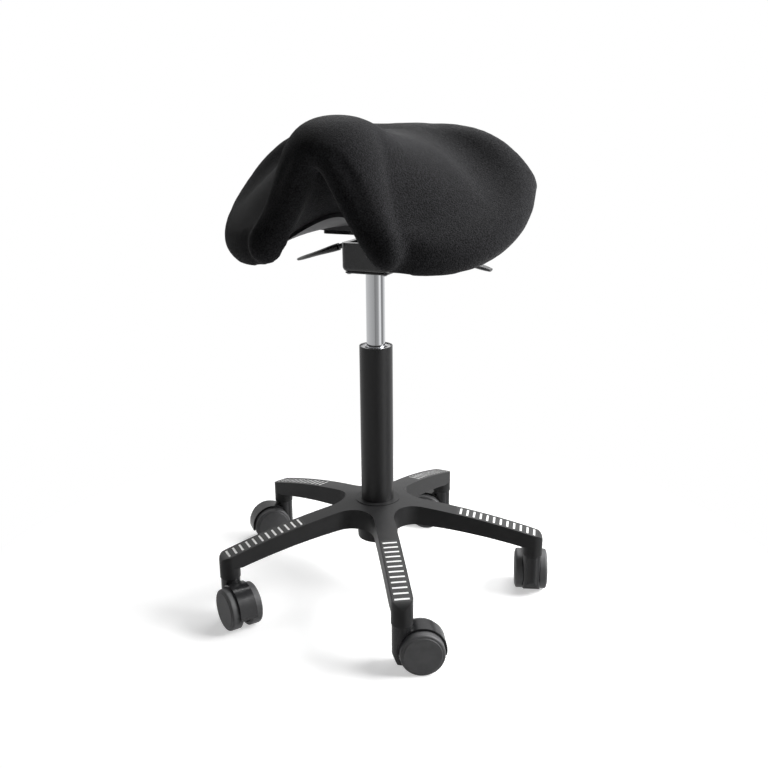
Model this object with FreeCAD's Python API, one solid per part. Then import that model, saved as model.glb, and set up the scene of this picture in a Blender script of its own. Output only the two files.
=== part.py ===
"""Saddle stool: padded saddle seat on a tilt mechanism, gas spring column and five castors.

Millimetres. The origin is on the floor under the column, +Z is up and the seat's pommel points to -Y.
"""
import FreeCAD
import Part
import math
import os

os.makedirs("parts", exist_ok=True)
V = FreeCAD.Vector

# Clearances between neighbouring pieces
press_gap = 0.02          # pushed-in pieces that stay put
running_gap = 0.05        # radial play of a shaft that turns or slides
soft_gap = 0.8            # between the foam and the shell
cover_gap = 0.5           # between pieces that pass each other

# Five-arm base
arm_count = 5
first_arm_angle = -58.2   # degrees, seen from above
arm_reach = 243.0         # column axis to castor stem axis
arm_width = 30.4
arm_end_z = 69.0          # underside of each arm's socket
arm_socket_height = 22.0
root_top_z = 148.0        # top of the star beside the column
mid_top_z = 131.5
end_top_z = 104.5
nose_radius = 11.0
root_bottom_z = 115.0
mid_bottom_z = 106.0
end_bottom_z = 86.0
web_radius = 38.0         # hollow corner between two arms, seen from above
arm_wall = 3.4
arm_hollow_depth = 7.0    # ribbed pockets under the arms
rib_thickness = 2.4
rib_places = (0.395, 0.551, 0.708, 0.848)   # cross ribs under an arm, as shares of its reach
hub_boss_radius = 31.0
hub_bottom_z = 84.0

# Foot pads on the arms
pad_length = 124.0
pad_past_castor = 7.0     # how far each pad runs out past the castor's axis
pad_inner_radius = arm_reach + pad_past_castor - pad_length
pad_width = 25.4
pad_depth = 2.2
strip_count = 12
strip_pitch = 10.3
strip_inset = 5.5         # from the pad's inner end to the first bar's middle
strip_length = 21.0
strip_width = 3.2
strip_recess = 0.3

# Column: outer tube, gas cylinder, piston rod
tube_radius = 25.0
tube_wall = 1.75
tube_top_z = 393.0
tube_bottom_z = 90.0
tube_taper = 0.9          # how much the tube narrows inside the hub
tube_floor = 3.0
bush_length = 88.0
bush_depth = 4.0          # top of the bush below the tube's rim
ring_height = 2.6
ring_width = 6.5
cylinder_radius = 14.0
cylinder_wall = 3.0
cylinder_bottom_z = 285.0
cylinder_top_z = 530.0
cylinder_taper_height = 36.0
cylinder_taper = 0.8
guide_height = 12.0
rod_radius = 5.0
rod_end_radius = 4.0
rod_top_z = 340.0
piston_height = 10.0
bearing_radius = 15.0
bearing_height = 7.0
clip_radius = 7.5
clip_thickness = 1.6
button_radius = 2.5
button_height = 24.0
button_stand = 5.5        # how far the release button stands out of the cylinder
button_travel = 3.5

# Tilt mechanism
housing_width = 74.0
housing_front = -38.0
housing_length = 110.0
housing_overlap = 23.0    # how far the housing reaches down over the cylinder's top
housing_bottom_z = cylinder_top_z - housing_overlap
housing_height = 42.0
housing_wall = 2.6
housing_corner = 8.0
housing_floor_lip = 3.0
cover_thickness = 2.0
socket_wall = 5.0
pivot_y = 46.0
pivot_rise = 26.0         # above the housing's bottom
pivot_z = housing_bottom_z + pivot_rise
pivot_radius = 5.0
bracket_front = -54.0
bracket_length = 148.0
bracket_rise = 62.0       # top plate above the housing's bottom
bracket_top_z = housing_bottom_z + bracket_rise
bracket_thickness = 3.0
bracket_flange = 6.0
ear_thickness = 3.0
ear_width = 26.0
screw_ear_gap = 0.5        # between the ears and the seat screws' heads
screw_radius = 3.0
screw_head_radius = 6.5
screw_head_height = 3.2
screw_length = 12.0
seat_screw_rows = (-12.0, 46.0)
seat_screw_x = housing_width / 2 + cover_gap + ear_thickness + screw_ear_gap + screw_head_radius
bracket_margin = 10.5      # from the seat screws out to the bracket's sides
bracket_width = 2 * (seat_screw_x + bracket_margin)
cover_screw_inset = 9.0

# Levers
lever_radius = 4.0
lever_touch_gap = 0.3     # between the height lever and the release button
lever_z = cylinder_top_z + button_stand + lever_touch_gap + lever_radius
lever_play = 0.35
lever_bush_wall = 2.0
lever_bush_length = 7.0
lever_inner_end = -2.0    # just past the column's axis
lever_bend_radius = 14.0
paddle_width = 23.0
paddle_thickness = 7.0
height_lever_y = 0.0
height_lever_straight = 80.0
height_lever_slope = 14.0
height_paddle_start = 22.0
height_paddle_length = 74.0
tilt_lever_y = 18.0
tilt_lever_straight = 50.0
tilt_lever_slope = 18.0
tilt_paddle_start = 14.0
tilt_paddle_length = 72.0

# Saddle seat: three cross ribs of the foam, front, middle and rear, heights above the bracket
# crest y, y shift at the wing tip, crest height, half width of the flat crest,
# wing tip x, wing tip height, length and outward lean of the wing's lower run,
# half width of the flat under the crest, length of the underside's lower run,
# thickness at the crest, how far the underside's middle lies behind the crest
front_rib = (-112.0, -47.0, 155.0, 90.0, 108.0, 2.0, 87.0, 33.0, 4.0, 85.0, 62.0, -52.0)
middle_rib = (-20.0, -43.0, 133.0, 120.0, 204.5, 12.0, 83.0, 47.0, 55.0, 34.0, 117.0, 0.0)
rear_rib = (62.0, -20.0, 144.0, 82.0, 220.5, 73.5, 102.0, 36.5, 60.0, 46.0, 70.0, 0.0)
foam_wing_thickness = 51.0
front_rolls = (48.0, 22.0)   # roll at the crest and at the wing tip
rear_rolls = (36.5, 23.5)
crest_share = 0.32        # share of the way from a crest to the saddle's hollow that is rounded over
tip_flat = 0.30           # share of the wing's thickness left at the very tip
section_count = 9         # sections from the crest to each wing tip
shell_thickness = 5.0
shell_front = 0.30        # where the shell starts and ends, as shares of the underside's depth
shell_rear = 0.95
shell_reach = 0.96        # share of the foam's wing that the shell backs
pedestal_width = bracket_width + 8.0
pedestal_front = -62.0
pedestal_length = 120.0

# Castors
castor_trail = 26.0
castor_headings = (28.0, 108.5, 190.5, 225.0, 327.5)
wheel_radius = 31.0
wheel_outer_face = 25.0   # castor centre plane to the wheel's outer face
wheel_inner_face = 6.6
wheel_edge = 3.0
wheel_disc_radius = 26.8
wheel_disc_stand = 0.8
wheel_pocket_inner = 9.0
wheel_pocket_outer = 26.0
wheel_pocket_depth = 11.0
hood_half_width = 13.0
hood_wall = 2.5
hood_running_gap = 1.0
hood_web_half = 6.0
hood_skirt_z = 24.0
neck_radius = 14.3
neck_gap = 0.6            # hood top below the arm's socket
tongue_z = 12.0
tongue_cut = 13.0
stem_radius = 5.5
stem_lower_radius = 4.0
stem_bottom_z = 47.0
axle_radius = 4.0
axle_half_length = 20.5


def cylinder(radius, bottom, height, x=0.0, y=0.0):
    return Part.makeCylinder(radius, height, V(x, y, bottom))


def box(x0, x1, y0, y1, z0, z1):
    return Part.makeBox(x1 - x0, y1 - y0, z1 - z0, V(x0, y0, z0))


def revolve(points, axis=V(0, 0, 1)):
    """Solid turned about the given axis through the origin from a closed outline."""
    outline = Part.makePolygon(list(points) + [points[0]])
    return Part.Face(outline).revolve(V(0, 0, 0), axis, 360)


def turned(outline):
    """Solid turned about Z from (radius, height) pairs."""
    return revolve([V(radius, 0, height) for radius, height in outline])


def spin(shape, angle, centre=V(0, 0, 0)):
    copy = shape.copy()
    copy.rotate(centre, V(0, 0, 1), angle)
    return copy


def export(name, *solids):
    shape = solids[0] if len(solids) == 1 else Part.makeCompound(list(solids))
    shape.exportStep("parts/" + name + ".step")


def arm_angles():
    return [first_arm_angle + 360.0 / arm_count * number for number in range(arm_count)]


# Five-arm base


def star_face(half_width, corner_radius, reach, end_radius):
    """Plan of the star: straight-sided arms with round ends and hollow corners between them."""
    half_step = math.pi / arm_count
    corner_start = (half_width + corner_radius) / math.tan(half_step)
    corner_middle = (half_width + corner_radius) / math.sin(half_step) - corner_radius
    edges = []
    for number in range(arm_count):
        turn = 2 * half_step * number

        def at(along, across, turn=turn):
            return V(along * math.cos(turn) - across * math.sin(turn),
                     along * math.sin(turn) + across * math.cos(turn), 0)

        def between(radius, turn=turn):
            return V(radius * math.cos(turn + half_step), radius * math.sin(turn + half_step), 0)

        next_turn = turn + 2 * half_step
        next_start = V(corner_start * math.cos(next_turn) + half_width * math.sin(next_turn),
                       corner_start * math.sin(next_turn) - half_width * math.cos(next_turn), 0)
        edges.append(Part.makeLine(at(corner_start, -half_width), at(reach, -half_width)))
        edges.append(Part.Arc(at(reach, -half_width), at(reach + end_radius, 0),
                              at(reach, half_width)).toShape())
        edges.append(Part.makeLine(at(reach, half_width), at(corner_start, half_width)))
        edges.append(Part.Arc(at(corner_start, half_width), between(corner_middle), next_start).toShape())
    return Part.Face(Part.Wire(edges))


def radial_body(drop, outer):
    """Ring whose top and bottom follow the arms' side view, its top lowered by drop."""
    end = arm_reach + outer
    nose = nose_radius
    root = tube_radius
    nose_start = end - nose
    mid = (root + nose_start) / 2
    inner_end = arm_reach - arm_width / 2
    mid_low = (root + inner_end) / 2
    corner = nose * (1 - math.sqrt(0.5))
    edges = [
        Part.Arc(V(root, 0, root_top_z - drop), V(mid, 0, mid_top_z - drop),
                 V(nose_start, 0, end_top_z - drop)).toShape(),
        Part.Arc(V(nose_start, 0, end_top_z - drop), V(end - corner, 0, end_top_z - drop - corner),
                 V(end, 0, end_top_z - drop - nose)).toShape(),
        Part.makeLine(V(end, 0, end_top_z - drop - nose), V(end, 0, end_bottom_z)),
        Part.makeLine(V(end, 0, end_bottom_z), V(inner_end, 0, end_bottom_z)),
        Part.Arc(V(inner_end, 0, end_bottom_z), V(mid_low, 0, mid_bottom_z),
                 V(root, 0, root_bottom_z)).toShape(),
        Part.makeLine(V(root, 0, root_bottom_z), V(root, 0, root_top_z - drop)),
    ]
    return Part.Face(Part.Wire(edges)).revolve(V(0, 0, 0), V(0, 0, 1), 360)


def under_arms(rise):
    """All that lies below the arms' underside moved up by rise."""
    inner_end = arm_reach - arm_width / 2
    corners = [V(inner_end, 0, end_bottom_z + rise), V(tube_radius, 0, root_bottom_z + rise),
               V(tube_radius, 0, arm_end_z), V(inner_end, 0, arm_end_z)]
    middle = V((tube_radius + inner_end) / 2, 0, mid_bottom_z + rise)
    edges = [Part.Arc(corners[0], middle, corners[1]).toShape()]
    edges += Part.makePolygon(corners[1:] + corners[:1]).Edges
    return Part.Face(Part.Wire(edges)).revolve(V(0, 0, 0), V(0, 0, 1), 360)


def pad_layer(top_drop, depth, inner, length, width):
    """Slab that follows the arm's top along +X, from top_drop below it and depth thick."""
    strip = box(inner, inner + length, -width / 2, width / 2, end_bottom_z, root_top_z)
    layer = radial_body(top_drop, arm_width / 2).cut(radial_body(top_drop + depth, arm_width / 2))
    return layer.common(strip)


def pad_bars(layer, width, length):
    """The cross bars of one foot pad, cut out of a layer of it."""
    bars = []
    for number in range(strip_count):
        radius = pad_inner_radius + strip_inset + strip_pitch * number
        bar = box(radius - width / 2, radius + width / 2, -length / 2, length / 2, end_bottom_z, root_top_z)
        bars.append(bar.common(layer))
    return bars


def tube_cone(gap):
    """Tapered foot of the column tube, as a solid, with a gap round it."""
    lower = turned([(0, tube_bottom_z), (tube_radius - tube_taper + gap, tube_bottom_z),
                    (tube_radius + gap, root_top_z), (0, root_top_z)])
    return lower


def make_base():
    height = root_top_z - arm_end_z
    star = star_face(arm_width / 2, web_radius, arm_reach, arm_width / 2)
    plan = star.extrude(V(0, 0, height))
    plan.translate(V(0, 0, arm_end_z))
    body = radial_body(0.0, arm_width / 2).common(plan)

    inner = star_face(arm_width / 2 - arm_wall, web_radius + arm_wall, arm_reach, arm_width / 2 - arm_wall)
    hollow = inner.extrude(V(0, 0, height))
    hollow.translate(V(0, 0, arm_end_z))
    pocket = hollow.common(under_arms(arm_hollow_depth))
    for place in rib_places:
        radius = arm_reach * place
        ring = cylinder(radius + rib_thickness / 2, arm_end_z, height)
        pocket = pocket.cut(ring.cut(cylinder(radius - rib_thickness / 2, arm_end_z, height)))
    pocket = pocket.cut(cylinder(hub_boss_radius + arm_wall, arm_end_z, height))
    for number in range(arm_count):
        socket = cylinder(arm_width / 2, arm_end_z, height, arm_reach)
        pocket = pocket.cut(spin(socket, 360.0 / arm_count * number))
    body = body.cut(pocket)

    body = body.fuse(turned([(0, hub_bottom_z), (hub_boss_radius, hub_bottom_z),
                             (hub_boss_radius + arm_wall, root_bottom_z + 4),
                             (hub_boss_radius + arm_wall, root_top_z), (0, root_top_z)]))
    for number in range(arm_count):
        socket = cylinder(arm_width / 2, arm_end_z, end_bottom_z - arm_end_z + 2, arm_reach)
        body = body.fuse(spin(socket, 360.0 / arm_count * number))
    body = body.removeSplitter()

    recess = pad_layer(-1.0, pad_depth + 1.0 + press_gap, pad_inner_radius - press_gap,
                       pad_length + 2 * press_gap, pad_width + 2 * press_gap)
    bore = cylinder(stem_radius + press_gap, arm_end_z, arm_socket_height, arm_reach)
    for number in range(arm_count):
        turn = 360.0 / arm_count * number
        body = body.cut(spin(recess, turn))
        body = body.cut(spin(bore, turn))
    body = body.cut(tube_cone(press_gap))
    body = body.cut(cylinder(tube_radius - tube_taper - 3, hub_bottom_z, root_top_z - hub_bottom_z))
    return spin(body, first_arm_angle)


def make_pads():
    """Black pads let into the arms' tops, and the white bars set into the pads."""
    layer = pad_layer(0.0, pad_depth, pad_inner_radius, pad_length, pad_width)
    strip_layer = pad_layer(strip_recess, pad_depth - strip_recess, pad_inner_radius, pad_length, pad_width)
    pad = layer
    for slot in pad_bars(layer, strip_width + 2 * press_gap, strip_length + 2 * press_gap):
        pad = pad.cut(slot)
    bars = pad_bars(strip_layer, strip_width, strip_length)
    export("foot_pads", *[spin(pad, angle) for angle in arm_angles()])
    export("foot_pad_strips", *[spin(bar, angle) for angle in arm_angles() for bar in bars])


# Column


def make_column():
    inner = tube_radius - tube_wall
    foot = tube_radius - tube_taper
    tube = turned([(rod_end_radius + running_gap, tube_bottom_z), (foot, tube_bottom_z),
                   (tube_radius, root_top_z), (tube_radius, tube_top_z), (inner, tube_top_z),
                   (inner, root_top_z), (foot - tube_wall, tube_bottom_z + tube_floor),
                   (rod_end_radius + running_gap, tube_bottom_z + tube_floor)])
    export("column_tube", tube)

    bush_top = tube_top_z - bush_depth
    bore = cylinder_radius + running_gap
    bush = turned([(bore, bush_top - bush_length), (inner - press_gap, bush_top - bush_length),
                   (inner - press_gap, bush_top), (bore, bush_top)])
    export("guide_bush", bush)
    ring = turned([(inner - ring_width, bush_top), (inner - press_gap, bush_top),
                   (inner - press_gap, bush_top + ring_height), (inner - ring_width + 1, bush_top + ring_height),
                   (inner - ring_width, bush_top + ring_height - 1)])
    export("tube_ring", ring)

    bearing_bottom = tube_bottom_z + tube_floor
    washer = bearing_height / 4
    race = turned([(rod_end_radius + running_gap, bearing_bottom), (bearing_radius, bearing_bottom),
                   (bearing_radius, bearing_bottom + washer),
                   (rod_end_radius + running_gap, bearing_bottom + washer)])
    upper = race.copy()
    upper.translate(V(0, 0, bearing_height - washer))
    ball_radius = bearing_height / 4
    ball_circle = (bearing_radius + rod_end_radius) / 2
    ball_count = int(2 * math.pi * ball_circle / (2.6 * ball_radius))
    balls = []
    for number in range(ball_count):
        turn = 2 * math.pi * number / ball_count
        centre = V(ball_circle * math.cos(turn), ball_circle * math.sin(turn), bearing_bottom + bearing_height / 2)
        balls.append(Part.makeSphere(ball_radius, centre))
    export("thrust_bearing_races", race, upper)
    export("thrust_bearing_balls", *balls)

    shoulder = bearing_bottom + bearing_height + running_gap
    clip_top = tube_bottom_z - running_gap
    clip_bottom = clip_top - clip_thickness
    groove = rod_end_radius - 1
    rod_end = clip_bottom - 2
    rod = turned([(0, rod_end), (rod_end_radius, rod_end), (rod_end_radius, clip_bottom), (groove, clip_bottom),
                  (groove, clip_top), (rod_end_radius, clip_top), (rod_end_radius, shoulder),
                  (rod_radius, shoulder), (rod_radius, rod_top_z), (0, rod_top_z)])
    export("piston_rod", rod)
    clip = turned([(groove + press_gap, clip_bottom), (clip_radius, clip_bottom), (clip_radius, clip_top),
                   (groove + press_gap, clip_top)])
    clip = clip.cut(box(0, clip_radius + 1, -groove, groove, clip_bottom - 1, clip_top + 1))
    export("rod_clip", clip)

    bore = cylinder_radius - cylinder_wall
    piston_top = rod_top_z
    piston = turned([(rod_end_radius, piston_top), (bore - running_gap, piston_top),
                     (bore - running_gap, piston_top + piston_height), (0, piston_top + piston_height),
                     (0, piston_top), (rod_end_radius, piston_top)])
    export("piston", piston)
    taper_start = cylinder_top_z - cylinder_taper_height
    neck = cylinder_radius - cylinder_taper
    gas_top = taper_start - cylinder_wall
    gas = turned([(bore, cylinder_bottom_z), (cylinder_radius, cylinder_bottom_z),
                  (cylinder_radius, taper_start), (neck, cylinder_top_z), (0, cylinder_top_z), (0, gas_top),
                  (bore, gas_top)])
    well = button_height - button_stand + button_travel + 1
    gas = gas.cut(cylinder(button_radius + running_gap, cylinder_top_z - well, well))
    export("gas_cylinder", gas)
    guide = turned([(rod_radius + running_gap, cylinder_bottom_z), (bore - press_gap, cylinder_bottom_z),
                    (bore - press_gap, cylinder_bottom_z + guide_height),
                    (rod_radius + running_gap, cylinder_bottom_z + guide_height)])
    export("rod_guide", guide)
    button_top = cylinder_top_z + button_stand
    dome = button_radius / 2
    button = turned([(0, button_top - button_height), (button_radius, button_top - button_height),
                     (button_radius, button_top - dome), (dome, button_top), (0, button_top)])
    export("release_button", button)


# Tilt mechanism


def rounded_box(x0, x1, y0, y1, z0, z1, radius):
    """Box with its four edges along Y at the bottom and its upright edges rounded."""
    block = box(x0, x1, y0, y1, z0, z1)
    edges = []
    for edge in block.Edges:
        low = min(vertex.Z for vertex in edge.Vertexes)
        high = max(vertex.Z for vertex in edge.Vertexes)
        if high > low or (low == high and abs(low - z0) < 1e-6):
            edges.append(edge)
    return block.makeFillet(radius, edges)


def make_housing():
    half = housing_width / 2
    back = housing_front + housing_length
    top = housing_bottom_z + housing_height
    wall = housing_wall
    body = rounded_box(-half, half, housing_front, back, housing_bottom_z, top, housing_corner)
    inside = rounded_box(-half + wall, half - wall, housing_front + wall, back - wall,
                         housing_bottom_z + housing_floor_lip, top + housing_corner, housing_corner - wall)
    body = body.cut(inside.common(box(-half, half, housing_front, back, housing_bottom_z, top - wall)))
    window = box(-half + 3 * wall, half - 3 * wall, housing_front + 4 * wall, back - 4 * wall,
                 top - 2 * wall, top + 1)
    body = body.cut(window)

    taper_start = cylinder_top_z - cylinder_taper_height
    neck = cylinder_radius - cylinder_taper
    outer = cylinder_radius + socket_wall
    boss = turned([(0, housing_bottom_z), (outer, housing_bottom_z), (outer, cylinder_top_z - 1),
                   (0, cylinder_top_z - 1)])
    body = body.fuse(boss)
    for side in (-1, 1):
        ear_boss = Part.makeCylinder(pivot_radius + 4, wall + 5, V(side * (half - wall - 5), pivot_y, pivot_z),
                                     V(side, 0, 0))
        body = body.fuse(ear_boss)
    plug = turned([(0, taper_start), (cylinder_radius + press_gap, taper_start),
                   (neck + press_gap, cylinder_top_z), (0, cylinder_top_z)])
    body = body.cut(plug)
    pin = Part.makeCylinder(pivot_radius + press_gap, 2 * half + 2, V(-half - 1, pivot_y, pivot_z), V(1, 0, 0))
    body = body.cut(pin)
    bush_radius = lever_radius + lever_play + lever_bush_wall + press_gap
    for side, lever_y in ((1, height_lever_y), (-1, tilt_lever_y)):
        hole = Part.makeCylinder(bush_radius, 4 * wall, V(side * (half - 2 * wall), lever_y, lever_z), V(side, 0, 0))
        body = body.cut(hole)
    for x, y in cover_screw_places():
        body = body.cut(cylinder(screw_radius / 2, housing_bottom_z - 1, housing_floor_lip + 2, x, y))
    return body.removeSplitter()


def cover_screw_places():
    half = housing_width / 2 - cover_screw_inset
    front = housing_front + cover_screw_inset
    back = housing_front + housing_length - cover_screw_inset
    return [(x, y) for x in (-half, half) for y in (front, back)]


def make_mechanism():
    export("tilt_housing", make_housing())
    half = housing_width / 2
    back = housing_front + housing_length
    inset = housing_corner / 2
    cover = box(-half + inset, half - inset, housing_front + inset, back - inset,
                housing_bottom_z - cover_thickness, housing_bottom_z)
    upright = [edge for edge in cover.Edges if edge.Vertexes[0].Z != edge.Vertexes[1].Z]
    cover = cover.makeFillet(inset, upright)
    cover = cover.cut(cylinder(cylinder_radius + cover_gap, housing_bottom_z - cover_thickness - 1,
                               cover_thickness + 2))
    screws = []
    for x, y in cover_screw_places():
        cover = cover.cut(cylinder(screw_radius / 2 + press_gap, housing_bottom_z - cover_thickness - 1,
                                   cover_thickness + 2, x, y))
        shank = cylinder(screw_radius / 2 - press_gap, housing_bottom_z - cover_thickness,
                         cover_thickness + housing_floor_lip, x, y)
        head = cylinder(screw_head_radius / 2, housing_bottom_z - cover_thickness - screw_head_height / 2,
                        screw_head_height / 2, x, y)
        screws.append(shank.fuse(head))
    export("housing_cover", cover)
    export("cover_screws", *screws)

    reach = half + cover_gap + ear_thickness + 2
    pin = Part.makeCylinder(pivot_radius, 2 * reach, V(-reach, pivot_y, pivot_z), V(1, 0, 0))
    export("tilt_pivot_pin", pin)


def make_bracket():
    """Seat bracket: a flat top plate with a turned-down rim and two ears on the tilt pivot."""
    half = bracket_width / 2
    back = bracket_front + bracket_length
    bottom = bracket_top_z - bracket_flange
    wall = bracket_thickness
    tray = box(-half, half, bracket_front, back, bottom, bracket_top_z)
    upright = [edge for edge in tray.Edges if edge.Vertexes[0].Z != edge.Vertexes[1].Z]
    tray = tray.makeFillet(3 * wall, upright)
    inside = box(-half + wall, half - wall, bracket_front + wall, back - wall, bottom - 1,
                 bracket_top_z - wall)
    upright = [edge for edge in inside.Edges if edge.Vertexes[0].Z != edge.Vertexes[1].Z]
    tray = tray.cut(inside.makeFillet(2 * wall, upright))
    ear_inner = housing_width / 2 + cover_gap
    for side in (-1, 1):
        plate = Part.makeCylinder(ear_width / 2, ear_thickness, V(side * ear_inner, pivot_y, pivot_z), V(side, 0, 0))
        x0, x1 = sorted((side * ear_inner, side * (ear_inner + ear_thickness)))
        plate = plate.fuse(box(x0, x1, pivot_y - ear_width / 2, pivot_y + ear_width / 2, pivot_z,
                               bracket_top_z - wall / 2))
        tray = tray.fuse(plate)
    pin = Part.makeCylinder(pivot_radius + running_gap, bracket_width, V(-half, pivot_y, pivot_z), V(1, 0, 0))
    tray = tray.cut(pin)
    for x, y in seat_screw_places():
        tray = tray.cut(cylinder(screw_radius + press_gap, bottom, bracket_flange + 2, x, y))
    return tray.removeSplitter()


def seat_screw_places():
    return [(side * seat_screw_x, y) for side in (-1, 1) for y in seat_screw_rows]


# Levers


def lever_outline(straight, slope, length):
    """Centre line of a lever along +X at its own height: straight, a bend down, then sloping."""
    bend = lever_bend_radius
    turn = math.radians(slope)
    start = V(lever_inner_end, 0, 0)
    bend_start = V(straight, 0, 0)
    centre = V(straight, 0, -bend)
    bend_middle = centre + V(bend * math.sin(turn / 2), 0, bend * math.cos(turn / 2))
    bend_end = centre + V(bend * math.sin(turn), 0, bend * math.cos(turn))
    end = bend_end + V(length * math.cos(turn), 0, -length * math.sin(turn))
    path = Part.Wire([Part.makeLine(start, bend_start), Part.Arc(bend_start, bend_middle, bend_end).toShape(),
                      Part.makeLine(bend_end, end)])
    return path, bend_end, end


def make_lever(name, side, lever_y, straight, slope, paddle_start, paddle_length):
    """Bent round bar out of the housing's side, and the flat grip pushed onto its end."""
    turn = math.radians(slope)
    path, bend_end, end = lever_outline(straight, slope, paddle_start + paddle_length * 0.35)
    circle = Part.Wire([Part.makeCircle(lever_radius, V(lever_inner_end, 0, 0), V(1, 0, 0))])
    bar = path.makePipeShell([circle], True, False)
    along = V(math.cos(turn), 0, -math.sin(turn))
    root = bend_end + along * paddle_start
    sections = []
    steps = ((0.0, 0.62, 1.5), (0.16, 0.86, 1.35), (0.45, 1.0, 0.95), (0.85, 0.90, 0.72), (1.0, 0.62, 0.5))
    for share, width_share, thick_share in steps:
        half_width = paddle_width / 2 * width_share
        half_thick = paddle_thickness / 2 * thick_share
        centre = root + along * (paddle_length * share)
        up = V(math.sin(turn), 0, math.cos(turn)) * half_thick
        out = V(0, half_width, 0)
        edges = [Part.Arc(centre - out, centre - out * 0.72 + up * 0.8, centre + up).toShape(),
                 Part.Arc(centre + up, centre + out * 0.72 + up * 0.8, centre + out).toShape(),
                 Part.Arc(centre + out, centre + out * 0.72 - up * 0.8, centre - up).toShape(),
                 Part.Arc(centre - up, centre - out * 0.72 - up * 0.8, centre - out).toShape()]
        sections.append(Part.Wire(edges))
    paddle = Part.makeLoft(sections, True, False)
    bore_length = paddle_length * 0.35 + 1
    bore = Part.makeCylinder(lever_radius + press_gap, bore_length + 1, root - along, along)
    paddle = paddle.cut(bore)
    bush = Part.makeCylinder(lever_radius + lever_play + lever_bush_wall, lever_bush_length,
                             V(housing_width / 2 - lever_bush_length / 2, 0, 0), V(1, 0, 0))
    bush = bush.cut(Part.makeCylinder(lever_radius + lever_play, housing_width, V(0, 0, 0), V(1, 0, 0)))
    for part_name, shape in ((name + "_bar", bar), (name + "_paddle", paddle), (name + "_bush", bush)):
        placed = shape if side > 0 else spin(shape, 180)
        placed.translate(V(0, lever_y, lever_z))
        export(part_name, placed)


# Seat


def bezier(knots, share):
    back = 1 - share
    return (knots[0] * back ** 3 + knots[1] * (3 * back * back * share)
            + knots[2] * (3 * back * share * share) + knots[3] * share ** 3)


def rib_knots(rib):
    """Control points of a rib's outer and inner curve, in its XZ plane, and the wing's direction."""
    crest_z, flat, tip_x, tip_z, run, lean, low_flat, low_run, crest_thickness = rib[2:11]
    crest_z += bracket_top_z
    tip_z += bracket_top_z
    lean = math.radians(lean)
    down = V(math.sin(lean), 0, -math.cos(lean))
    inward = V(-math.cos(lean), 0, -math.sin(lean))
    tip = V(tip_x, 0, tip_z)
    low_tip = tip + inward * foam_wing_thickness
    low_z = crest_z - crest_thickness
    outer = (V(0, 0, crest_z), V(flat, 0, crest_z), tip - down * run, tip)
    inner = (V(0, 0, low_z), V(low_flat, 0, low_z), low_tip - down * low_run, low_tip)
    return outer, inner, down


def rib_pair(rib, share):
    """Matching points on the top and the underside of a rib, share 0 at the crest, 1 at the tip."""
    outer, inner, down = rib_knots(rib)
    forward = V(0, rib[0] + rib[1] * share * share, 0)
    behind = V(0, rib[11] * (1 - share * share), 0)
    return bezier(outer, share) + forward, bezier(inner, share) + forward + behind


def even_shares(count):
    """Shares that part the middle rib's top into even lengths."""
    samples = 200
    outer = rib_knots(middle_rib)[0]
    lengths = [0.0]
    last = outer[0]
    for number in range(1, samples + 1):
        here = bezier(outer, number / samples)
        lengths.append(lengths[-1] + here.distanceToPoint(last))
        last = here
    shares = []
    for step in range(count + 1):
        wanted = lengths[-1] * step / count
        nearest = min(range(samples + 1), key=lambda number: abs(lengths[number] - wanted))
        shares.append(nearest / samples)
    return shares


def dipped_line(end, middle, up):
    """Points on the way from a crest to the hollow: on the round crest, where it turns, in the hollow."""
    chord = middle - end
    along = V(chord).normalize()
    across = (up - along * (up * along)).normalize()
    slope = math.asin((end - middle) * up / chord.Length)
    rise = chord.Length / 2 * math.tan(slope / 2)
    return (end + chord * (crest_share / 2) + across * (rise * crest_share), end + chord * crest_share,
            end + chord * ((1 + crest_share) / 2) - across * (rise * (1 - crest_share)))


def saddle_arcs(tops, up, dip):
    """Arcs along the top from front to rear. dip is 1 for round crests and a hollow, 0 for one plain arc."""
    front, middle, rear = tops
    plain = Part.Arc(front, middle, rear)
    centre = plain.parameter(middle)
    lines = []
    for end, first in ((front, plain.FirstParameter), (rear, plain.LastParameter)):
        dipped = dipped_line(end, middle, up)
        places = (crest_share / 2, crest_share, (1 + crest_share) / 2)
        line = []
        for point, place in zip(dipped, places):
            line.append(point * dip + plain.value(first + (centre - first) * place) * (1 - dip))
        lines.append(line)
    ahead, behind = lines
    points = [front] + ahead + [middle] + behind[::-1] + [rear]
    return [Part.Arc(points[i], points[i + 1], points[i + 2]).toShape() for i in range(0, 8, 2)]


def cushion_section(share, squeeze, push):
    """Closed cross section of the cushion: saddle line, rear roll, underside arc, front roll."""
    tops = []
    lows = []
    for rib in (front_rib, middle_rib, rear_rib):
        top, low = rib_pair(rib, share)
        half = (top - low) * 0.5
        centre = (top + low) * 0.5 + rib_knots(rib)[2] * (push * half.Length)
        tops.append(centre + half * squeeze)
        lows.append(centre - half * squeeze)
    diagonal = math.sqrt(0.5)
    rolls = []
    for top, low, sign, roll in ((tops[2], lows[2], 1, rear_rolls), (tops[0], lows[0], -1, front_rolls)):
        centre = (top + low) * 0.5
        half = (top - low) * 0.5
        out = V(0, sign * squeeze * (roll[0] + (roll[1] - roll[0]) * share), 0)
        shoulder = centre + half * diagonal + out * diagonal
        heel = centre - half * diagonal + out * diagonal
        rolls.append((shoulder, centre + out, heel))
    rear, front = rolls
    up = (tops[1] - lows[1]).normalize()
    return Part.Wire(saddle_arcs(tops, up, 1 - share * share) + [
        Part.Arc(tops[2], rear[0], rear[1]).toShape(),
        Part.Arc(rear[1], rear[2], lows[2]).toShape(),
    ] + saddle_arcs(lows[::-1], up, 0) + [
        Part.Arc(lows[0], front[2], front[1]).toShape(),
        Part.Arc(front[1], front[0], tops[0]).toShape(),
    ])


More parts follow.
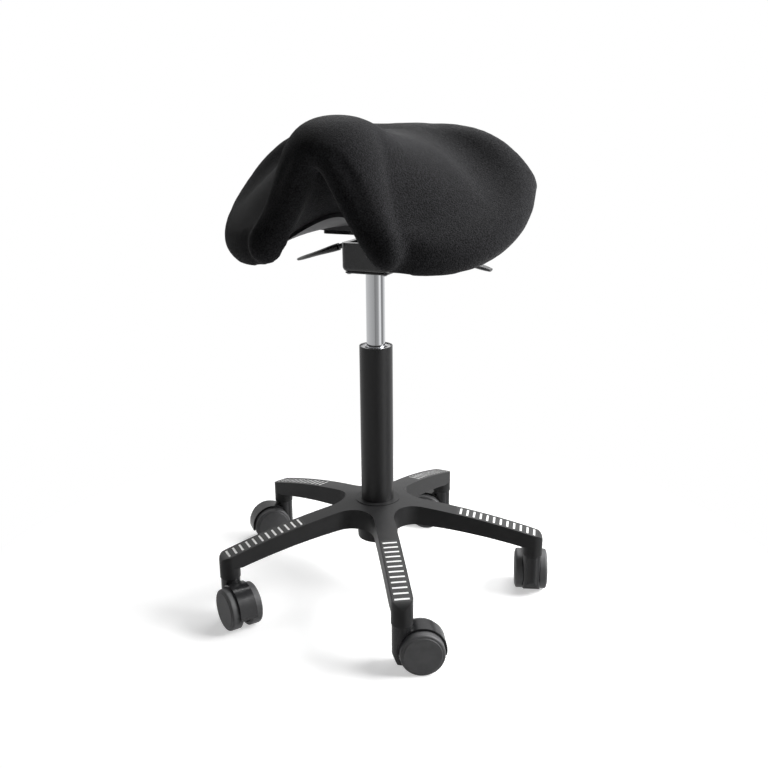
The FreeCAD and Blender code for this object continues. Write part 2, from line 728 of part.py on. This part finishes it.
def end_cap(section):
    """Faces that close a loft at a section: strips between its two long sides, and its rounded ends."""
    edges = section.Edges
    far = len(edges) // 2
    long_count = far - (2 if far > 2 else 1)
    faces = [Part.makeRuledSurface(edges[i], edges[far + long_count - 1 - i]) for i in range(long_count)]
    for nose in (edges[long_count:far], edges[far + long_count:]):
        if len(nose) > 1:
            chord = Part.makeLine(nose[-1].lastVertex(True).Point, nose[0].firstVertex(True).Point)
            faces.append(Part.Face(Part.Wire(nose + [chord])))
    return faces


def wing_loft(sections):
    """Solid from the left wing's tip to the right wing's, given the crest's and the right sections."""
    centre = V(0, 0, 0)
    side = V(1, 0, 0)
    left = [section.mirror(centre, side) for section in sections[1:]]
    cap = end_cap(sections[-1])
    faces = Part.makeLoft(left[::-1] + sections, False, False).Faces + cap
    faces += [face.mirror(centre, side) for face in cap]
    skin = Part.makeShell(faces)
    skin.sewShape()
    return Part.makeSolid(skin)


def make_cushion():
    sections = [cushion_section(share, 1.0, 0.0) for share in even_shares(section_count)]
    sections.append(cushion_section(1.0, 0.89, 0.45))
    sections.append(cushion_section(1.0, 0.62, 0.80))
    sections.append(cushion_section(1.0, tip_flat, 0.97))
    return wing_loft(sections)


def under_section(share, upper, lower, start, end):
    """Closed section of a layer that follows the foam's underside, between two depths below it."""
    corners = []
    for depth in (upper, lower):
        points = []
        for rib in (front_rib, middle_rib, rear_rib):
            top, low = rib_pair(rib, share)
            points.append(low - (top - low) * (depth / (top - low).Length))
        arc = Part.Arc(*points)
        first = arc.FirstParameter
        span = arc.LastParameter - first
        corners.append([arc.value(first + span * place) for place in (start, (start + end) / 2, end)])
    above, below = corners
    return Part.Wire([
        Part.Arc(above[0], above[1], above[2]).toShape(),
        Part.makeLine(above[2], below[2]),
        Part.Arc(below[2], below[1], below[0]).toShape(),
        Part.makeLine(below[0], above[0]),
    ])


def under_layer(upper, lower, start, end):
    shares = even_shares(section_count)[:-1] + [shell_reach]
    return wing_loft([under_section(share, upper, lower, start, end) for share in shares])


def make_shell():
    """Moulded shell under the foam, and the hollow-topped block that it stands on."""
    shell = under_layer(soft_gap, soft_gap + shell_thickness, shell_front, shell_rear)
    above = under_layer(-shell_thickness, soft_gap + shell_thickness, shell_front, 2 - shell_rear)
    half = pedestal_width / 2
    back = pedestal_front + pedestal_length
    block = box(-half, half, pedestal_front, back, bracket_top_z, bracket_top_z + front_rib[2])
    upright = [edge for edge in block.Edges if edge.Vertexes[0].Z != edge.Vertexes[1].Z]
    block = block.makeFillet(3 * bracket_thickness, upright)
    pedestal = min(block.cut(above).Solids, key=lambda piece: piece.BoundBox.ZMin)
    for x, y in seat_screw_places():
        hole = cylinder(screw_radius, bracket_top_z - 1, screw_length + 1, x, y)
        shell = shell.cut(hole)
        pedestal = pedestal.cut(hole)
    return shell.Solids[0], pedestal


def make_seat_screws():
    under_plate = bracket_top_z - bracket_thickness
    screws = []
    for x, y in seat_screw_places():
        shank = cylinder(screw_radius - press_gap, under_plate, screw_length, x, y)
        screws.append(shank.fuse(cylinder(screw_head_radius, under_plate - screw_head_height,
                                          screw_head_height, x, y)))
    return screws


# Castors


def across(radius, start, end):
    """Cylinder about the castor's axle, between two distances from the castor's middle plane."""
    return Part.makeCylinder(radius, end - start, V(castor_trail, start, wheel_radius), V(0, 1, 0))


def make_hood():
    clear = wheel_radius + hood_running_gap
    top = arm_end_z - neck_gap
    reach = 3 * wheel_radius
    hood = across(clear + hood_wall, -hood_half_width, hood_half_width)
    hood = hood.cut(box(-reach, reach, -reach, reach, -reach, hood_skirt_z))
    hood = hood.fuse(cylinder(neck_radius, tongue_z, top - tongue_z))
    low = across(clear, -reach, reach).common(box(-reach, reach, -reach, reach, -reach, hood_skirt_z))
    hood = hood.cut(low)
    for side in (-1, 1):
        start, end = sorted((side * hood_web_half, side * reach))
        hood = hood.cut(across(clear, start, end))
    slant = Part.Face(Part.makePolygon([
        V(-neck_radius - 1, -reach, tongue_z - 1), V(-neck_radius - 1, -reach, tongue_z + tongue_cut),
        V(-neck_radius, -reach, tongue_z + tongue_cut), V(-neck_radius / 2, -reach, tongue_z - 1),
        V(-neck_radius - 1, -reach, tongue_z - 1)]))
    hood = hood.cut(slant.extrude(V(0, 2 * reach, 0)))
    hood = hood.cut(cylinder(stem_lower_radius + running_gap, stem_bottom_z - 1, top - stem_bottom_z + 2))
    hood = hood.cut(across(axle_radius + press_gap, -reach, reach))
    return hood.removeSplitter()


def make_wheel(side):
    """Wheel on one side of the castor: tread, flat raised disc, and a pocket round its hub."""
    bore = axle_radius + running_gap
    rim = wheel_outer_face - wheel_disc_stand
    edge = wheel_edge
    corner = edge * (1 - math.sqrt(0.5))
    pocket_floor = wheel_inner_face + wheel_pocket_depth
    bore_end = axle_half_length + 1

    def at(radius, out):
        return V(radius, side * out, 0)

    outline = [at(bore, bore_end), at(bore, wheel_inner_face), at(wheel_pocket_inner, wheel_inner_face),
               at(wheel_pocket_inner, pocket_floor), at(wheel_pocket_outer, pocket_floor),
               at(wheel_pocket_outer, wheel_inner_face), at(wheel_radius - edge / 2, wheel_inner_face),
               at(wheel_radius, wheel_inner_face + edge / 2), at(wheel_radius, rim - edge)]
    face = [at(wheel_radius - edge, rim), at(wheel_disc_radius, rim),
            at(wheel_disc_radius - wheel_disc_stand, wheel_outer_face), at(0, wheel_outer_face),
            at(0, bore_end), at(bore, bore_end)]
    edges = Part.makePolygon(outline).Edges
    edges.append(Part.Arc(outline[-1], at(wheel_radius - corner, rim - corner), face[0]).toShape())
    edges += Part.makePolygon(face).Edges
    wheel = Part.Face(Part.Wire(edges)).revolve(V(0, 0, 0), V(0, 1, 0), 360)
    wheel.translate(V(castor_trail, 0, wheel_radius))
    return wheel


def make_stem():
    collar = arm_end_z - neck_gap
    top = arm_end_z + arm_socket_height - 1
    lower = stem_lower_radius
    return turned([(0, stem_bottom_z), (lower, stem_bottom_z), (lower, collar), (lower, arm_end_z),
                   (stem_radius, arm_end_z), (stem_radius, top - 1), (stem_radius - 1, top), (0, top)])


def make_castors():
    pieces = {"stem": make_stem(), "hood": make_hood(), "axle": across(axle_radius, -axle_half_length,
                                                                        axle_half_length),
              "wheel_right": make_wheel(-1), "wheel_left": make_wheel(1)}
    for number, angle in enumerate(arm_angles()):
        turn = math.radians(angle)
        place = V(arm_reach * math.cos(turn), arm_reach * math.sin(turn), 0)
        for name, shape in pieces.items():
            piece = spin(shape, castor_headings[number])
            piece.translate(place)
            export("castor_%d_%s" % (number + 1, name), piece)


make_pads()
make_column()
make_mechanism()
export("base_star", make_base())
export("seat_bracket", make_bracket())
make_lever("height_lever", 1, height_lever_y, height_lever_straight, height_lever_slope,
           height_paddle_start, height_paddle_length)
make_lever("tilt_lever", -1, tilt_lever_y, tilt_lever_straight, tilt_lever_slope,
           tilt_paddle_start, tilt_paddle_length)
export("seat_cushion", make_cushion())
for name, shape in zip(("seat_shell", "seat_pedestal"), make_shell()):
    export(name, shape)
export("seat_screws", *make_seat_screws())
make_castors()
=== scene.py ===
"""Saddle stool: finishes for the solid pieces, and the padded seat's fabric cover made over its foam.

Metres, in the part's own frame: the floor is z = 0 and the pommel points to -Y.
"""

import math

import bpy
from mathutils import Matrix, Vector


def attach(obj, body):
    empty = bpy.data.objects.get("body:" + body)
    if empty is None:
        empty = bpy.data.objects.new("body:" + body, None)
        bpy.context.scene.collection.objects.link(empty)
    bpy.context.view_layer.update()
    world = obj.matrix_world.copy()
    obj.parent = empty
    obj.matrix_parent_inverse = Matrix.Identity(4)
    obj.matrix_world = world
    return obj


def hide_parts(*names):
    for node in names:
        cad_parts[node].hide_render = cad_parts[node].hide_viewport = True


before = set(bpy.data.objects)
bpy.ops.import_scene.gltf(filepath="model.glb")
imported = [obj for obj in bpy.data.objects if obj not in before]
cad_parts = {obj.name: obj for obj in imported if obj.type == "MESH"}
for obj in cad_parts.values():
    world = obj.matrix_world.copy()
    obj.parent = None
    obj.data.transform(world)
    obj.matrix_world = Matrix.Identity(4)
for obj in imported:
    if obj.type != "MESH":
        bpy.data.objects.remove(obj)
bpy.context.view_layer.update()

# The camera stands a little above seat height, in front of the pommel and round to its right, and
# looks down at the column. Its lens and place come from the ellipses of the column, tube and castors.
scene = bpy.context.scene
camera_place = (0.5514, -1.2100, 0.72195)
degrees_round = 24.00
degrees_up_from_nadir = 73.67
degrees_of_lean = -0.50
camera = bpy.data.objects.new("camera", bpy.data.cameras.new("camera"))
camera.data.lens = 42.86
camera.data.sensor_width = 36.0
turned = Matrix.Rotation(math.radians(degrees_round), 4, "Z")
tipped = Matrix.Rotation(math.radians(degrees_up_from_nadir), 4, "X")
leaning = Matrix.Rotation(math.radians(degrees_of_lean), 4, "Z")
camera.matrix_world = Matrix.Translation(camera_place) @ turned @ tipped @ leaning
scene.collection.objects.link(camera)
scene.camera = camera
scene.view_settings.view_transform = "Standard"


# White studio: the camera sees plain white, the object is lit by a weak surround, and gloss and metal
# reflect white walls with a few grey gaps between them, all the way round.
class Shade:
    """A value in a node tree. The operators + - * ** add Math nodes, and node() adds any other."""

    def __init__(self, tree, socket=None):
        self.tree = tree
        self.socket = socket

    def node(self, kind, settings=None, inputs=None, out=0):
        made = self.tree.nodes.new(kind)
        for name, value in (settings or {}).items():
            if name == "stops":
                ramp = made.color_ramp.elements
                while len(ramp) < len(value):
                    ramp.new(0.5)
                for element, (place, grey) in zip(ramp, value):
                    element.position = place
                    element.color = (grey, grey, grey, 1.0)
            else:
                setattr(made, name, value)
        for name, value in (inputs or {}).items():
            if isinstance(value, Shade):
                self.tree.links.new(value.socket, made.inputs[name])
            else:
                made.inputs[name].default_value = value
        return Shade(self.tree, made.outputs[out] if made.outputs else None)

    def output(self, name):
        """Another output of the same node."""
        return Shade(self.tree, self.socket.node.outputs[name])

    def maths(self, operation, first, second):
        return self.node("ShaderNodeMath", {"operation": operation}, {0: first, 1: second})

    def __add__(self, other):
        return self.maths("ADD", self, other)

    def __radd__(self, other):
        return self.maths("ADD", other, self)

    def __sub__(self, other):
        return self.maths("SUBTRACT", self, other)

    def __rsub__(self, other):
        return self.maths("SUBTRACT", other, self)

    def __mul__(self, other):
        return self.maths("MULTIPLY", self, other)

    def __rmul__(self, other):
        return self.maths("MULTIPLY", other, self)

    def __pow__(self, other):
        return self.maths("POWER", self, other)

    def __rpow__(self, other):
        return self.maths("POWER", other, self)


def ray_kinds(shade):
    """Whether a ray is the camera's, a glossy one, or one sent through glass."""
    rays = shade.node("ShaderNodeLightPath")
    return [rays.output(name) for name in ("Is Camera Ray", "Is Glossy Ray", "Is Transmission Ray")]


def empty_tree(holder):
    """The holder's own node tree, with nothing in it."""
    holder.use_nodes = True
    holder.node_tree.nodes.clear()
    return Shade(holder.node_tree)


# share of a turn round the horizon, and how bright the wall is there
wall_greys = ((0.0, 0.60), (0.12, 0.50), (0.26, 0.40), (0.290, 0.36), (0.297, 0.16), (0.312, 0.27),
              (0.39, 0.33), (0.43, 0.50), (0.465, 1.0), (0.500, 0.80), (0.535, 0.20), (0.57, 0.26),
              (0.62, 0.50), (0.68, 0.85), (0.85, 0.75), (1.0, 0.60))
surround_colour = (0.97, 0.98, 1.0, 1.0)
surround_strength = 0.02
plain_white = (1.0, 1.0, 1.0, 1.0)
scene.world = bpy.data.worlds.new("studio")
air = empty_tree(scene.world)
camera_ray, glossy_ray, clear_ray = ray_kinds(air)
across = air.node("ShaderNodeSeparateXYZ", None, {0: air.node("ShaderNodeTexCoord")})
bearing = air.node("ShaderNodeMath", {"operation": "ARCTAN2"}, {0: across.output("Y"), 1: across})
walls = air.node("ShaderNodeValToRGB", {"stops": wall_greys}, {0: bearing * (0.5 / math.pi) + 0.5})
surround = air.node("ShaderNodeBackground", None, {"Color": surround_colour, "Strength": surround_strength})
mirrored = air.node("ShaderNodeBackground", None, {"Color": walls, "Strength": 1.0})
backdrop = air.node("ShaderNodeBackground", None, {"Color": plain_white, "Strength": 1.0})
unseen = air.node("ShaderNodeMixShader", None, {0: glossy_ray, 1: surround, 2: mirrored})
seen = air.node("ShaderNodeMixShader", None, {0: camera_ray + clear_ray, 1: unseen, 2: backdrop})
air.node("ShaderNodeOutputWorld", None, {"Surface": seen})

# Studio floor: matte pale grey, lifted by a glow so that only the castors' soft shadows show, and
# fading to plain white away from the column. Mirrored rays pass through it to the walls.
floor_half_width = 30.0
floor_grey = (0.72, 0.72, 0.72, 1.0)
floor_glow = 0.50
fade_start = 0.2885
fade_per_metre = 2.6
floor_paint = bpy.data.materials.new("floor")
ground = empty_tree(floor_paint)
camera_ray, glossy_ray, clear_ray = ray_kinds(ground)
place = ground.node("ShaderNodeTexCoord").output("Object")
from_column = ground.node("ShaderNodeVectorMath", {"operation": "LENGTH"}, {0: place}, out=1)
away = ground.node("ShaderNodeMath", {"operation": "MULTIPLY_ADD", "use_clamp": True},
                   {0: from_column, 1: fade_per_metre, 2: -fade_start * fade_per_metre})
matte = ground.node("ShaderNodeBsdfDiffuse", None, {"Color": floor_grey})
glow = ground.node("ShaderNodeEmission", None, {"Color": plain_white, "Strength": floor_glow})
white = ground.node("ShaderNodeEmission", None, {"Color": plain_white, "Strength": 1.0})
lifted = ground.node("ShaderNodeAddShader", None, {0: matte, 1: glow})
faded = ground.node("ShaderNodeMixShader", None, {0: away, 1: lifted, 2: white})
both = ground.node("ShaderNodeMixShader", None, {0: camera_ray + clear_ray, 1: matte, 2: faded})
open_below = ground.node("ShaderNodeBsdfTransparent")
floored = ground.node("ShaderNodeMixShader", None, {0: glossy_ray, 1: both, 2: open_below})
ground.node("ShaderNodeOutputMaterial", None, {"Surface": floored})
corners = [(x * floor_half_width, y * floor_half_width, 0) for x, y in ((-1, -1), (1, -1), (1, 1), (-1, 1))]
floor_mesh = bpy.data.meshes.new("floor")
floor_mesh.from_pydata(corners, [], [(0, 1, 2, 3)])
floor_mesh.materials.append(floor_paint)
floor = bpy.data.objects.new("floor", floor_mesh)
scene.collection.objects.link(floor)

# Lamps: a square softbox to the right and behind, which lights the saddle's near wing, a second one
# above and behind it for the tops, and a narrow weak one to the left. All point at the column.
lit_point = Vector((0, 0, 0.45))
for name, place, width, height, power in (
        ("lamp_right", (1.7, 0.60, 1.35), 1.2, 1.2, 92.0),
        ("lamp_above", (0.35, 1.0, 2.2), 1.6, 1.2, 38.0),
        ("lamp_left", (-1.7, 0.4, 1.5), 0.7, 1.4, 4.0)):
    lamp = bpy.data.objects.new(name, bpy.data.lights.new(name, "AREA"))
    lamp.data.shape = "RECTANGLE"
    lamp.data.size = width
    lamp.data.size_y = height
    lamp.data.energy = power
    lamp.location = place
    lamp.rotation_euler = (lit_point - Vector(place)).to_track_quat("-Z", "Y").to_euler()
    scene.collection.objects.link(lamp)


# Five-arm base: one moulding in black nylon with a fine spark texture, a little glossier where
# shoes and hands have rubbed the tops of the arms.
def finish(name, colour, roughness, constants=None):
    """New material: its node builder and its Principled shader's sockets, with the constants set."""
    material = bpy.data.materials.new(name)
    material.use_nodes = True
    sockets = material.node_tree.nodes["Principled BSDF"].inputs
    sockets["Base Color"].default_value = (*colour, 1.0)
    sockets["Roughness"].default_value = roughness
    for socket, value in (constants or {}).items():
        sockets[socket].default_value = value
    return material, Shade(material.node_tree), sockets


def feed(value, socket):
    value.tree.links.new(value.socket, socket)


def grain(shade, size, detail=2.0, spread=0.5):
    """Noise between 0 and 1 whose grains are about size metres across."""
    place = shade.node("ShaderNodeTexCoord").output("Object")
    return shade.node("ShaderNodeTexNoise", None, {"Vector": place, "Scale": 1.0 / size, "Detail": detail,
                                                   "Roughness": spread})


def varied(amount, low, high):
    """Number from low to high, where the amount goes from 0 to 1."""
    return amount * (high - low) + low


def relief(shade, height, depth, sockets):
    """Bump of the given depth in metres, from a height between 0 and 1."""
    bump = shade.node("ShaderNodeBump", None, {"Height": height, "Distance": depth, "Strength": 1.0})
    feed(bump, sockets["Normal"])


def blend(shade, amount, dark, light):
    """Colour between dark and light."""
    return shade.node("ShaderNodeMix", {"data_type": "RGBA"}, {0: amount, 6: (*dark, 1.0), 7: (*light, 1.0)},
                      out=2)


def dress(material, *nodes):
    for node in nodes:
        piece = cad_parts[node]
        piece.data.materials.clear()
        piece.data.materials.append(material)


nylon, shade, sockets = finish("base_nylon", (0.016, 0.016, 0.017), 0.42, {"Specular IOR Level": 0.3})
spark = grain(shade, size=0.0007, detail=3.0)
worn = grain(shade, size=0.03, detail=4.0)
feed(blend(shade, worn, dark=(0.010, 0.010, 0.0105), light=(0.019, 0.019, 0.0195)), sockets["Base Color"])
feed(varied(worn, low=0.30, high=0.46) + spark * 0.08, sockets["Roughness"])
relief(shade, spark, depth=0.00008, sockets=sockets)
dress(nylon, "base_star")

# Foot pads: ribbed black rubber let into the tops of the arms, with a row of white hard plastic bars
# let into each pad, scuffed grey in places by shoes.
rubber, shade, sockets = finish("pad_rubber", (0.02, 0.02, 0.02), 0.6)
feed(varied(grain(shade, size=0.004, detail=4.0), low=0.42, high=0.72), sockets["Roughness"])
relief(shade, grain(shade, size=0.0009), depth=0.0001, sockets=sockets)
dress(rubber, "foot_pads")
bar_plastic, shade, sockets = finish("bar_white", (0.78, 0.78, 0.77), 0.5)
scuffed = grain(shade, size=0.006, detail=5.0, spread=0.7)
feed(blend(shade, scuffed ** 3.0, dark=(0.86, 0.86, 0.85), light=(0.42, 0.42, 0.41)), sockets["Base Color"])
feed(varied(scuffed, low=0.35, high=0.65), sockets["Roughness"])
dress(bar_plastic, "foot_pad_strips")

# Column: a steel tube in satin black powder coat, with its plastic guide bush and the bright washer
# just inside the mouth. The turned steel is also that of the pins, shafts and screws.
powder, shade, sockets = finish("tube_coat", (0.009, 0.009, 0.0095), 0.36)
orange_peel = grain(shade, size=0.0016)
feed(varied(orange_peel, low=0.30, high=0.42), sockets["Roughness"])
relief(shade, orange_peel, depth=0.00003, sockets=sockets)
dress(powder, "column_tube")
bushing, shade, sockets = finish("bush_plastic", (0.04, 0.04, 0.042), 0.45)
feed(varied(grain(shade, size=0.003, detail=3.0), low=0.35, high=0.55), sockets["Roughness"])
dress(bushing, "guide_bush", "rod_guide", "height_lever_bush", "tilt_lever_bush")
steel, shade, sockets = finish("turned_steel", (0.6, 0.6, 0.61), 0.3, {"Metallic": 1.0})
feed(varied(grain(shade, size=0.0005, detail=3.0), low=0.20, high=0.45), sockets["Roughness"])
dress(steel, "tube_ring", "thrust_bearing_races", "thrust_bearing_balls", "piston_rod", "rod_clip", "piston",
      "tilt_pivot_pin", "release_button", "cover_screws", "seat_screws")

# Gas cylinder: drawn steel, chromed and polished, with faint marks along it where it slides in the
# bush. They are fine noise, stretched fifty times along the cylinder.
chrome, shade, sockets = finish("chrome", (0.78, 0.79, 0.81), 0.1, {"Metallic": 1.0})
place = shade.node("ShaderNodeTexCoord").output("Object")
drawn = shade.node("ShaderNodeMapping", None, {"Vector": place, "Scale": (1.0, 1.0, 0.02)})
marks_per_metre = 1800.0
marks = shade.node("ShaderNodeTexNoise", None, {"Vector": drawn, "Scale": marks_per_metre, "Detail": 2.0})
feed(varied(marks, low=0.06, high=0.18), sockets["Roughness"])
dress(chrome, "gas_cylinder")

# Tilt mechanism: pressed steel housing, cover and seat bracket in gloss black paint, which also
# covers the two levers' bent bars.
gloss, shade, sockets = finish("gloss_paint", (0.012, 0.012, 0.013), 0.14,
                               {"Coat Weight": 0.5, "Coat Roughness": 0.08})
flow = grain(shade, size=0.008, detail=3.0)
feed(varied(flow, low=0.10, high=0.22), sockets["Roughness"])
relief(shade, flow, depth=0.00005, sockets=sockets)
dress(gloss, "tilt_housing", "housing_cover", "seat_bracket", "height_lever_bar", "tilt_lever_bar")

# Lever grips: gloss black plastic paddles pushed onto the bars, dulled by fingers in small patches.
grip_plastic, shade, sockets = finish("grip_plastic", (0.02, 0.02, 0.021), 0.3)
feed(varied(grain(shade, size=0.006, detail=4.0), low=0.20, high=0.45), sockets["Roughness"])
relief(shade, grain(shade, size=0.0008), depth=0.00003, sockets=sockets)
dress(grip_plastic, "height_lever_paddle", "tilt_lever_paddle")

# Seat shell: grey moulded polypropylene with a smooth, slightly silky underside, and the pedestal
# block of the same plastic that the bracket is screwed to.
silky, shade, sockets = finish("shell_plastic", (0.06, 0.06, 0.063), 0.45)
cloud = grain(shade, size=0.02, detail=3.0)
feed(blend(shade, cloud, dark=(0.040, 0.040, 0.042), light=(0.055, 0.055, 0.058)), sockets["Base Color"])
feed(varied(cloud, low=0.38, high=0.58), sockets["Roughness"])
relief(shade, grain(shade, size=0.0008), depth=0.00004, sockets=sockets)
dress(silky, "seat_shell", "seat_pedestal")

# Castors: gloss black hoods on steel stems and axles, over twin wheels of matte dark grey plastic
# whose faces and treads have picked up dust.
hood_plastic, shade, sockets = finish("hood_plastic", (0.016, 0.016, 0.017), 0.2)
feed(varied(grain(shade, size=0.01, detail=3.0), low=0.14, high=0.30), sockets["Roughness"])
relief(shade, grain(shade, size=0.004), depth=0.00004, sockets=sockets)
wheel_plastic, shade, sockets = finish("wheel_plastic", (0.06, 0.06, 0.062), 0.55)
dust = grain(shade, size=0.01, detail=5.0, spread=0.65)
feed(blend(shade, dust, dark=(0.045, 0.045, 0.047), light=(0.085, 0.085, 0.087)), sockets["Base Color"])
feed(varied(dust, low=0.42, high=0.67), sockets["Roughness"])
relief(shade, grain(shade, size=0.0006), depth=0.00005, sockets=sockets)
for number in range(1, 6):
    castor = "castor_%d_" % number
    dress(hood_plastic, castor + "hood")
    dress(steel, castor + "stem", castor + "axle")
    dress(wheel_plastic, castor + "wheel_left", castor + "wheel_right")

# Saddle cushion: moulded foam under a black woven stretch cover, drawn tight over the crest and the
# wings and turned under at the shell's edge. The foam's solid is meshed evenly, then the cover is
# stretched over it as cloth that the foam's pressure fills.
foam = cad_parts["seat_cushion"]
cushion = bpy.data.objects.new("saddle_cushion", foam.data.copy())
scene.collection.objects.link(cushion)
bpy.context.view_layer.objects.active = cushion


def applied(piece):
    """The piece's mesh with its modifiers in it."""
    return bpy.data.meshes.new_from_object(piece.evaluated_get(bpy.context.evaluated_depsgraph_get()))


def settle(piece, kind, **settings):
    """Add a modifier with the given settings and apply it to the piece's mesh."""
    modifier = piece.modifiers.new(kind.lower(), kind)
    for name, value in settings.items():
        setattr(modifier, name, value)
    shape = applied(piece)
    piece.modifiers.clear()
    piece.data = shape


settle(cushion, "REMESH", mode="VOXEL", voxel_size=0.005)
settle(cushion, "SMOOTH", factor=0.5, iterations=4)
cloth_frames = 20
furthest_swell = 0.004
swell_kept = 0.5
start = [point.co.copy() for point in cushion.data.vertices]
cloth = cushion.modifiers.new("cloth", "CLOTH")
cloth.settings.quality = 5
cloth.settings.mass = 0.3
cloth.settings.tension_stiffness = 15
cloth.settings.compression_stiffness = 15
cloth.settings.bending_stiffness = 0.5
cloth.settings.use_pressure = True
cloth.settings.uniform_pressure_force = 4.0
cloth.settings.effector_weights.gravity = 0.0
for step in range(1, cloth_frames + 1):
    scene.frame_set(step)
filled = applied(cushion)
cushion.modifiers.clear()
cushion.data = filled
for point, old in zip(filled.vertices, start):
    moved = point.co - old
    if moved.length > furthest_swell:
        moved *= furthest_swell / moved.length
    point.co = old + moved * swell_kept
scene.frame_set(1)
settle(cushion, "SUBSURF", levels=1, render_levels=1)
for face in cushion.data.polygons:
    face.use_smooth = True

fabric, shade, sockets = finish("cover_fabric", (0.012, 0.012, 0.013), 0.9,
                                {"Specular IOR Level": 0.04, "Sheen Weight": 0.10, "Sheen Roughness": 0.4})
thread_contrast = 2.2
threads = (grain(shade, size=0.0019, detail=3.0, spread=0.65) - 0.5) * thread_contrast + 0.5
mottle = grain(shade, size=0.0035)
feed(blend(shade, threads, dark=(0.002, 0.002, 0.0022), light=(0.028, 0.028, 0.030)), sockets["Base Color"])
feed(varied(mottle, low=0.85, high=0.95), sockets["Roughness"])
relief(shade, threads, depth=0.0004, sockets=sockets)
cushion.data.materials.clear()
cushion.data.materials.append(fabric)
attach(cushion, "seat")
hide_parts("seat_cushion")
